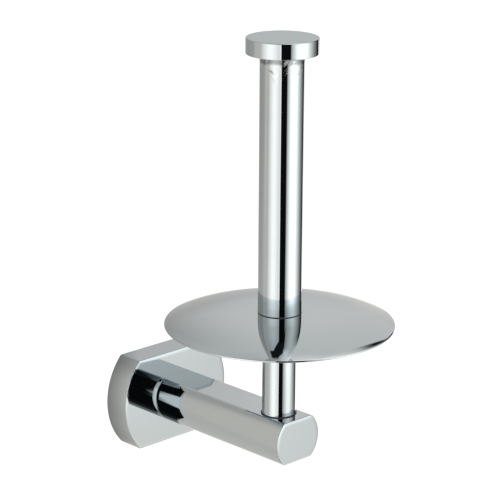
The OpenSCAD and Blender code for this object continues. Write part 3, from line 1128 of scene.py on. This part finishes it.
def build_cap():
    """Round cap with rounded edges."""
    low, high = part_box("end_cap")
    path = slug_path((high.x - low.x) / 2, low.z, high.z, scene_sizes().cap_edge)
    # Its chrome carries the painted darker shade on its top
    turn_piece("round_cap", "end_cap", path, "polished_chrome", handled=True)


def ring_angles():
    """Angles of a screw's ring points, as one row."""
    return np.linspace(0, 2 * math.pi, SCREW_POINTS, endpoint=False)[None, :]


def rings_of(radius, height):
    """Rings of points from arrays or numbers of radius and height."""
    angle = ring_angles()
    x, y, z = np.broadcast_arrays(radius * np.cos(angle), radius * np.sin(angle), height)
    return np.stack([x, y, z], 2)


def thread_rows(radius, low, high, pitch, chamfer):
    """Rings of a threaded length: the radius dips by a rounded V that climbs a pitch a turn.

    dip = depth (1 - |2 f - 1|), stretched and cut off for a flat root, f being the fraction of
    (height / pitch - angle / 360). Near each end the radius is held under a chamfer.
    """
    depth, root_stretch, rows_a_pitch = 0.54 * pitch, 1.25, 10
    rows = int(round((high - low) / pitch * rows_a_pitch)) + 1
    z = np.linspace(low, high, rows)[:, None]
    part = (z / pitch - ring_angles() / (2 * math.pi)) % 1.0
    dip = depth * np.clip(root_stretch * (1 - np.abs(2 * part - 1)), 0, 1)
    limit = radius - chamfer + np.minimum(z - low, high - z)
    least = radius - depth - 0.2 * chamfer
    return rings_of(np.minimum(radius - dip, np.maximum(limit, least)), z)


def key_socket(flats, face, floor):
    """Rings of a hexagon socket: its mouth's bevel, its wall and its coned floor.

    The wall's radius is half the flats over cos(angle from the nearest flat's middle).
    """
    bevel, sixth = 0.12 * MM, math.pi / 3
    hexagon = flats / 2 / np.cos((ring_angles() + sixth / 2) % sixth - sixth / 2)
    step = math.copysign(bevel, face - floor)
    cone = 5 * step
    return [
        rings_of(hexagon + bevel, face),
        rings_of(hexagon, face - step),
        rings_of(hexagon, floor),
        rings_of(0.0, floor - cone),
    ]


def screw_piece(name, node_name, rows, place, axes, body):
    """Screw from rings that run from one end's middle to the other's, normals from the mesh."""
    points = np.concatenate(rows)
    normals = np.cross(np.gradient(points, axis=1), np.gradient(points, axis=0))
    normals /= np.maximum(np.linalg.norm(normals, axis=2, keepdims=True), 1e-12)
    skin(
        name, [moved((points, normals), axes, place)], body, [node_name], "screw_steel",
        crease=math.radians(28),
    )


def cap_screw(name, node_name, shank, axes, on_axis):
    """Cap screw with its key socket; axes are the images of its own, in which it stands head up.

    on_axis is a point of its axis. The head's underside lies at its own height 0, so the
    piece's middle lies at half of the head's height less the shank.
    """
    s = scene_sizes()
    size = span(node_name)
    radius, pitch = s.screw_radius, s.screw_pitch
    head_radius, head_height = size.x / 2, max(size) - shank
    edge, under, chamfer = s.head_edge, 0.2 * MM, 0.6 * MM
    thread_end, neck = -1.5 * pitch, -1.2 * pitch
    head = (
        (radius, 0.0), (head_radius - under, 0.0), (head_radius, under),
        (head_radius, head_height - edge),
        (head_radius - 0.3 * edge, head_height - 0.3 * edge), (head_radius - edge, head_height),
    )
    rows = [
        rings_of(0.0, -shank),
        thread_rows(radius, -shank, thread_end, pitch, chamfer),
        rings_of(radius, neck),
        *(rings_of(out, up) for out, up in head),
        *key_socket(s.screw_key, head_height, head_height - s.key_depth),
    ]
    up = Vector(axes[2])
    underside = (middle(node_name) - on_axis).dot(up) - (head_height - shank) / 2
    screw_piece(name, node_name, rows, on_axis + up * underside, axes, HOLDER)


def build_screws():
    """Grub screw below the cover, and the two cap screws that hold bar and stem."""
    s = scene_sizes()
    size, centre = span("grub_screw"), middle("grub_screw")
    foot = (centre.x, centre.y, centre.z - size.z / 2)
    rows = key_socket(s.grub_key, 0.0, s.key_depth)[::-1] + [
        thread_rows(size.x / 2, 0.0, size.z, s.grub_pitch, 0.45 * MM),
        rings_of(0.0, size.z),
    ]
    screw_piece("clamping_grub_screw", "grub_screw", rows, foot, None, CLAMP_SCREW)
    cap_screw("post_cap_screw", "post_screw", s.post_screw_shank, UPSIDE_DOWN, POST)
    cap_screw("arm_cap_screw", "arm_screw", s.arm_screw_shank, HEAD_TO_WALL, Vector((0, 0, 0)))


def finish_hidden():
    """Finishes on the frame's own plugs, studs, dowels and spring washer."""
    for name, slot in (
        ("spring_washer", "screw_steel"), ("dowels", "screw_steel"), ("post_stud", "turned_brass"),
        ("foot_plug", "turned_brass"), ("head_plug", "turned_brass"), ("cap_stud", "turned_brass"),
    ):
        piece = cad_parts[name]
        piece.data.materials.clear()
        piece.data.materials.append(material_of(slot))


# Studio

def seen_and_lit(tree, seen, lit):
    """Shader that camera, glossy and transmission rays see, and another for all the rest."""
    path = node(tree, "ShaderNodeLightPath", (-600, 300))
    shown = path.outputs["Is Camera Ray"]
    for x, ray in ((-400, "Is Glossy Ray"), (-200, "Is Transmission Ray")):
        shown = math_node(tree, (x, 300), "MAXIMUM", shown, path.outputs[ray])
    return mixed_shader(tree, (300, 0), shown, lit, seen)


def only_in_reflections(thing):
    """Hides an object from all rays but glossy ones."""
    for ray in ("camera", "diffuse", "transmission", "volume_scatter", "shadow"):
        setattr(thing, "visible_" + ray, False)


def build_world():
    """White world: strength 1 where it is seen, a plain level where it lights."""
    world = bpy.data.worlds.new("studio_world")
    bpy.context.scene.world = world
    world.use_nodes = True
    world.cycles.sampling_method = "NONE"
    tree = world.node_tree
    tree.nodes.clear()
    seen, lit = (
        node(
            tree, "ShaderNodeBackground", (0, y), None,
            {"Color": (1.0, 1.0, 1.0, 1.0), "Strength": strength},
        ).outputs[0]
        for y, strength in ((150, 1.0), (-50, scene_studio().world_level))
    )
    output = node(tree, "ShaderNodeOutputWorld", (600, 0))
    tree.links.new(seen_and_lit(tree, seen, lit), output.inputs["Surface"])


def build_floor():
    """Round pale floor under the holder: near white where it is seen, and clear from below."""
    studio = scene_studio()
    disc = circle(studio.floor_radius, 96)[0]
    mesh = bpy.data.meshes.new("studio_floor")
    mesh.from_pydata([(x, y, studio.floor_height) for x, y in disc], [], [tuple(range(len(disc)))])
    material, tree = empty_material("studio_floor")
    matt, pale = (
        node(tree, "ShaderNodeBsdfDiffuse", (-200, y), None, {"Color": (*[tone] * 3, 1.0)}).outputs[0]
        for y, tone in ((100, 0.45), (-100, 0.85))
    )
    glow = node(tree, "ShaderNodeEmission", (-200, 0), None, {"Strength": 0.85})
    seen = node(tree, "ShaderNodeAddShader", (0, 50))
    tree.links.new(matt, seen.inputs[0])
    tree.links.new(glow.outputs[0], seen.inputs[1])
    above = seen_and_lit(tree, seen.outputs[0], pale)
    below = node(tree, "ShaderNodeBsdfTransparent", (300, -200)).outputs[0]
    facing = node(tree, "ShaderNodeNewGeometry", (300, 400)).outputs["Backfacing"]
    output = node(tree, "ShaderNodeOutputMaterial", (900, 0))
    tree.links.new(mixed_shader(tree, (600, 0), facing, above, below), output.inputs["Surface"])
    mesh.materials.append(material)
    floor = placed("studio_floor", mesh)


# Chosen from the reflections: name, azimuths, elevations, tone, softness of the left,
# right, low and high edge, and lean. Angles are in degrees, and tones linear.
TENT_ZONES = (
    ("left corner", (-153, -60), (-90, 90), (0.80, 0.73, 0.66), (18, 10, 1, 30), 0),
    ("upper corner", (-174, -139), (-15.5, 60), (0.56, 0.52, 0.48), (16, 8, 5, 25), 0),
    ("overhead light", (-75, 148), (49.5, 90), (2.02, 1.92, 1.80), (120, 60, 13, 1), 0),
    ("left wall", (-118, -30), (-75, 75), (1.13, 1.06, 0.99), (32, 45, 20, 45), 0),
    ("left light", (-116, -42), (-75, 20), (1.76, 1.68, 1.57), (29, 36, 15, 6), 0),
    ("right wall", (-10, 120), (-90, 75), (1.14, 1.08, 1.00), (28, 20, 10, 30), 0),
    ("right light", (-18, 72), (-29, 20), (2.30, 2.28, 2.21), (30, 48, 11, 12), 0),
    ("dark gap", (32, 125), (-32, 50), (0.012, 0.012, 0.013), (58, 12, 8, 21), 0),
    ("gap corner", (92, 110), (20, 43.5), (0.012, 0.012, 0.013), (8, 1, 5, 8), 0),
    ("white side", (99, 172), (-70, 2), (1.26, 1.20, 1.12), (3, 30, 20, 8), 0),
    ("back wall", (106.4, 200), (-8, 78), (0.82, 0.785, 0.75), (1.5, 25, 10, 28), 0),
    ("back wall foot", (124, 168), (-10, 17.5), (0.68, 0.65, 0.63), (14, 16, 5, 6.5), 0),
    ("back wall low", (98, 130), (-6, 15), (0.76, 0.73, 0.69), (3, 15, 4, 2), 0),
    ("dim corner", (136, 210), (-30, 65), (0.47, 0.45, 0.42), (22, 25, 20, 50), 0),
    ("low back", (150, 238), (-90, -16), (0.75, 0.70, 0.64), (20, 30, 1, 22), 0),
    ("front glow", (-14, 45), (46, 75), (1.50, 1.43, 1.36), (10, 22, 8, 12), 0),
    ("low dark", (-30, 66), (-62, -35), (0.02, 0.02, 0.02), (1, 72, 8, 9), 0),
    ("card glow", (-56, -46), (-32, 16), (1.46, 1.39, 1.30), (5, 1, 10, 8), 0),
    ("black card", (-48.6, -17), (-20, 56), (0.006, 0.006, 0.007), (1.0, 3, 5, 4), 0),
    ("black card middle", (-49.0, -40), (-16, 7), (0.006, 0.006, 0.007), (0.9, 1, 4, 4), 0),
    ("black card low", (-48.0, -18), (-66, -10), (0.006, 0.006, 0.007), (1.0, 3, 6, 4), 0),
    ("black card high", (-48.8, -10), (14, 50), (0.006, 0.006, 0.007), (1.1, 5, 12, 4), 0),
    ("canopy", (-128, -50), (50, 64.5), (0.02, 0.02, 0.02), (14, 10, 2, 3), 0),
    ("canopy front", (-102, -42), (32, 46.5), (0.02, 0.02, 0.02), (6, 5, 2.5, 4), 0.375),
    ("canopy corner", (-76, -14), (33, 56), (0.02, 0.02, 0.02), (14, 7, 6, 3), 0.19),
)


def build_tent():
    """Light tent: a sphere round the holder that shows only in reflections.

    A point lies at (sin a cos e, -cos a cos e, sin e) times the radius from the middle, and
    the UV map holds the azimuth a and the elevation e in degrees.
    """
    studio = scene_studio()
    a, e = np.meshgrid(np.arange(-180, 181, TENT_STEP), np.arange(-90, 91, TENT_STEP))
    rows, cols = a.shape
    across, rise = np.radians(a), np.radians(e)
    way = np.stack([np.sin(across) * np.cos(rise), -np.cos(across) * np.cos(rise), np.sin(rise)], 2)
    points = np.array([POST.x, POST.y, studio.tent_height]) + studio.tent_radius * way
    i, j = np.meshgrid(np.arange(rows - 1), np.arange(cols - 1), indexing="ij")
    first = (i * cols + j).ravel()
    quads = np.stack([first, first + 1, first + cols + 1, first + cols], 1)
    mesh = bpy.data.meshes.new("light_tent")
    mesh.from_pydata(points.reshape(-1, 3).tolist(), [], quads.tolist())
    order = np.zeros(len(mesh.loops), np.int32)
    mesh.loops.foreach_get("vertex_index", order)
    degrees = np.stack([a.ravel(), e.ravel()], 1)[order].astype(np.float32)
    mesh.uv_layers.new(name="degrees").data.foreach_set("uv", degrees.ravel())
    mesh.materials.append(make_tent_cloth())
    tent = placed("light_tent", mesh)
    only_in_reflections(tent)


def make_tent_cloth():
    """Glow of the tent: its grey, with every zone laid over those before it.

    A zone fades in over its softness at each edge. Its elevations hold at its right edge, and
    rise by its lean for each degree to the left.
    """
    material, tree = empty_material("tent_cloth")
    where = node(tree, "ShaderNodeUVMap", (-900, 0), {"uv_map": "degrees"})
    split = node(tree, "ShaderNodeSeparateXYZ", (-700, 0))
    tree.links.new(where.outputs["UV"], split.inputs["Vector"])
    tone_so_far = tuple(scene_studio().tent_grey)
    for k, (name, azimuths, elevations, tone, soft, lean) in enumerate(TENT_ZONES):
        y = -200 * k
        centre = sum(azimuths) / 2
        across = math_node(
            tree, (-700, y), "WRAP", split.outputs["X"], centre + 180.0, centre - 180.0
        )
        beside = math_node(tree, (-600, y), "SUBTRACT", across, azimuths[1])
        raised = math_node(tree, (-650, y - 60), "MULTIPLY", beside, lean)
        height = math_node(tree, (-600, y - 60), "ADD", split.outputs["Y"], raised)
        cover = 1.0
        for way, edge, full in (
            (across, azimuths[0], azimuths[0] + soft[0]),
            (across, azimuths[1], azimuths[1] - soft[1]),
            (height, elevations[0], elevations[0] + soft[2]),
            (height, elevations[1], elevations[1] - soft[3]),
        ):
            fade = ranged(tree, (-500, y), way, edge, full)
            cover = math_node(tree, (-300, y), "MULTIPLY", fade, cover)
        tone_so_far = laid_over(tree, (0, y), tone_so_far, cover, tone)
        tone_so_far.node.label = name
    glow = node(tree, "ShaderNodeEmission", (300, 0))
    output = node(tree, "ShaderNodeOutputMaterial", (500, 0))
    tree.links.new(tone_so_far, glow.inputs["Color"])
    tree.links.new(glow.outputs[0], output.inputs["Surface"])
    return material


def build_wall_shade():
    """Shade on the unseen wall left of the cover; it shows only in the cover's side.

    It is darkest at the cover's outline and fades with the distance from the cover's axis,
    and over a stretch of X towards the cover's middle.
    """
    studio = scene_studio()
    far, off_wall = 0.12, 1 * MM
    mesh = bpy.data.meshes.new("wall_shade")
    corners = [(-far, off_wall, -far), (0, off_wall, -far), (0, off_wall, far), (-far, off_wall, far)]
    mesh.from_pydata(corners, [], [(0, 1, 2, 3)])
    material, tree = empty_material("wall_shade")
    where, split = object_position(tree, (-900, 0))
    distance = node(tree, "ShaderNodeVectorMath", (-700, 0), {"operation": "LENGTH"})
    tree.links.new(where, distance.inputs[0])
    near = ranged(
        tree, (-500, 0), distance.outputs["Value"],
        studio.shade_end, studio.shade_start, 0.0, studio.shade_strength,
    )
    left = ranged(tree, (-500, -200), split["X"], -studio.shade_right, -studio.shade_left)
    clear = node(tree, "ShaderNodeBsdfTransparent", (0, 100)).outputs[0]
    dark = node(tree, "ShaderNodeEmission", (0, -100), None, {"Color": (0.10, 0.10, 0.09, 1.0)})
    cover = math_node(tree, (-200, 0), "MULTIPLY", near, left)
    output = node(tree, "ShaderNodeOutputMaterial", (500, 0))
    shaded = mixed_shader(tree, (300, 0), cover, clear, dark.outputs[0])
    tree.links.new(shaded, output.inputs["Surface"])
    mesh.materials.append(material)
    card = placed("wall_shade", mesh)
    only_in_reflections(card)


def build_lamps():
    """Two wide soft lamps, not mirrored in the chrome."""
    studio = scene_studio()
    for name, place, power, size in (
        ("key_lamp", (-1.1, -1.1, 0.9), studio.key_power, 1.2),
        ("fill_lamp", (1.1, -0.6, 0.7), studio.fill_power, 1.0),
    ):
        lamp = bpy.data.lights.new(name, "AREA")
        lamp.energy = power
        lamp.shape = "DISK"
        lamp.size = size
        stand = placed(name, lamp)
        stand.location = place
        stand.rotation_mode = "QUATERNION"
        stand.rotation_quaternion = (Vector(place) - POST).to_track_quat("Z", "Y")
        stand.visible_glossy = False
        stand.visible_camera = False


def build_camera():
    """Camera at the fitted angle: back, right and up follow from azimuth, elevation and roll."""
    studio = scene_studio()
    a, e, roll = studio.camera_azimuth, studio.camera_elevation, studio.camera_roll
    back = np.array([math.sin(a) * math.cos(e), -math.cos(a) * math.cos(e), math.sin(e)])
    right = np.cross(-back, (0, 0, 1))
    right /= np.linalg.norm(right)
    up = np.cross(right, -back)
    turned_right = math.cos(roll) * right + math.sin(roll) * up
    turned_up = math.cos(roll) * up - math.sin(roll) * right
    place = np.array([studio.look_x, studio.look_y, studio.look_z]) + back * studio.camera_distance
    camera = bpy.data.cameras.new("studio_camera")
    camera.lens = studio.camera_lens
    camera.sensor_width = 36.0
    camera.clip_start, camera.clip_end = 0.05, 50.0
    stand = placed("studio_camera", camera)
    matrix = Matrix.Identity(4)
    for column, vector in enumerate((turned_right, turned_up, back, place)):
        for row in range(3):
            matrix[row][column] = vector[row]
    stand.matrix_world = matrix
    bpy.context.scene.camera = stand


# Operators, one for the stage and one for each piece or group of like pieces

class HOLDER_OT_stage(bpy.types.Operator):
    """Camera, world, floor, lamps, light tent and wall shade."""

    bl_idname = "holder.stage"
    bl_label = "Studio"
    bl_options = {"REGISTER", "UNDO"}

    def execute(self, context):
        build_camera()
        build_world()
        build_floor()
        build_lamps()
        build_tent()
        build_wall_shade()
        return {"FINISHED"}


class HOLDER_OT_cover(bpy.types.Operator):
    """Hollow wall cover with its socket and the grub screw's hole."""

    bl_idname = "holder.cover"
    bl_label = "Wall cover"
    bl_options = {"REGISTER", "UNDO"}

    def execute(self, context):
        build_cover()
        return {"FINISHED"}


class HOLDER_OT_bracket(bpy.types.Operator):
    """Cast bracket behind the cover."""

    bl_idname = "holder.bracket"
    bl_label = "Wall bracket"
    bl_options = {"REGISTER", "UNDO"}

    def execute(self, context):
        build_bracket()
        return {"FINISHED"}


class HOLDER_OT_arm(bpy.types.Operator):
    """Flattened bar with the recess for the post screw."""

    bl_idname = "holder.arm"
    bl_label = "Arm"
    bl_options = {"REGISTER", "UNDO"}

    def execute(self, context):
        build_arm()
        return {"FINISHED"}


class HOLDER_OT_stem(bpy.types.Operator):
    """Short stem and all the thin washers."""

    bl_idname = "holder.stem"
    bl_label = "Stem"
    bl_options = {"REGISTER", "UNDO"}

    def execute(self, context):
        build_stem()
        build_washers()
        return {"FINISHED"}


class HOLDER_OT_roll_plate(bpy.types.Operator):
    """Domed plate that the roll stands on."""

    bl_idname = "holder.roll_plate"
    bl_label = "Roll plate"
    bl_options = {"REGISTER", "UNDO"}

    def execute(self, context):
        build_roll_plate()
        return {"FINISHED"}


class HOLDER_OT_tube(bpy.types.Operator):
    """Tall tube and its round cap."""

    bl_idname = "holder.tube"
    bl_label = "Tube and cap"
    bl_options = {"REGISTER", "UNDO"}

    def execute(self, context):
        build_tube()
        build_cap()
        return {"FINISHED"}


class HOLDER_OT_screws(bpy.types.Operator):
    """Grub screw and cap screws."""

    bl_idname = "holder.screws"
    bl_label = "Screws"
    bl_options = {"REGISTER", "UNDO"}

    def execute(self, context):
        build_screws()
        return {"FINISHED"}


class HOLDER_OT_hidden(bpy.types.Operator):
    """Finishes of plugs, studs, dowels and spring washer."""

    bl_idname = "holder.hidden"
    bl_label = "Hidden pieces"
    bl_options = {"REGISTER", "UNDO"}

    def execute(self, context):
        finish_hidden()
        return {"FINISHED"}


OPERATORS = (
    HOLDER_OT_stage,
    HOLDER_OT_cover,
    HOLDER_OT_bracket,
    HOLDER_OT_arm,
    HOLDER_OT_stem,
    HOLDER_OT_roll_plate,
    HOLDER_OT_tube,
    HOLDER_OT_screws,
    HOLDER_OT_hidden,
)


class HOLDER_PT_panel(bpy.types.Panel):
    """Sidebar panel with every step and its values."""

    bl_label = "Roll holder"
    bl_idname = "HOLDER_PT_panel"
    bl_space_type = "VIEW_3D"
    bl_region_type = "UI"
    bl_category = "Roll holder"

    def draw(self, context):
        layout = self.layout
        for kind in OPERATORS:
            layout.operator(kind.bl_idname)
        for group in (scene_sizes(), scene_finish(), scene_studio()):
            box = layout.box()
            for key in group.__annotations__:
                box.prop(group, key)


GROUPS = (
    ("holder_sizes", HolderSizes),
    ("holder_finish", HolderFinish),
    ("holder_studio", HolderStudio),
)


def register():
    """Registers the classes and hangs the groups on the scene."""
    for name, group in GROUPS:
        bpy.utils.register_class(group)
        setattr(bpy.types.Scene, name, PointerProperty(type=group))
    for kind in (*OPERATORS, HOLDER_PT_panel):
        bpy.utils.register_class(kind)


def unregister():
    """Takes back what register did."""
    for kind in reversed((*OPERATORS, HOLDER_PT_panel)):
        bpy.utils.unregister_class(kind)
    for name, group in reversed(GROUPS):
        delattr(bpy.types.Scene, name)
        bpy.utils.unregister_class(group)


def main():
    """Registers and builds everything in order."""
    register()
    bpy.context.scene.view_settings.view_transform = "Standard"
    bpy.ops.holder.stage()
    bpy.ops.holder.cover()
    bpy.ops.holder.bracket()
    bpy.ops.holder.arm()
    bpy.ops.holder.stem()
    bpy.ops.holder.roll_plate()
    bpy.ops.holder.tube()
    bpy.ops.holder.screws()
    bpy.ops.holder.hidden()


if __name__ == "__main__":
    main()
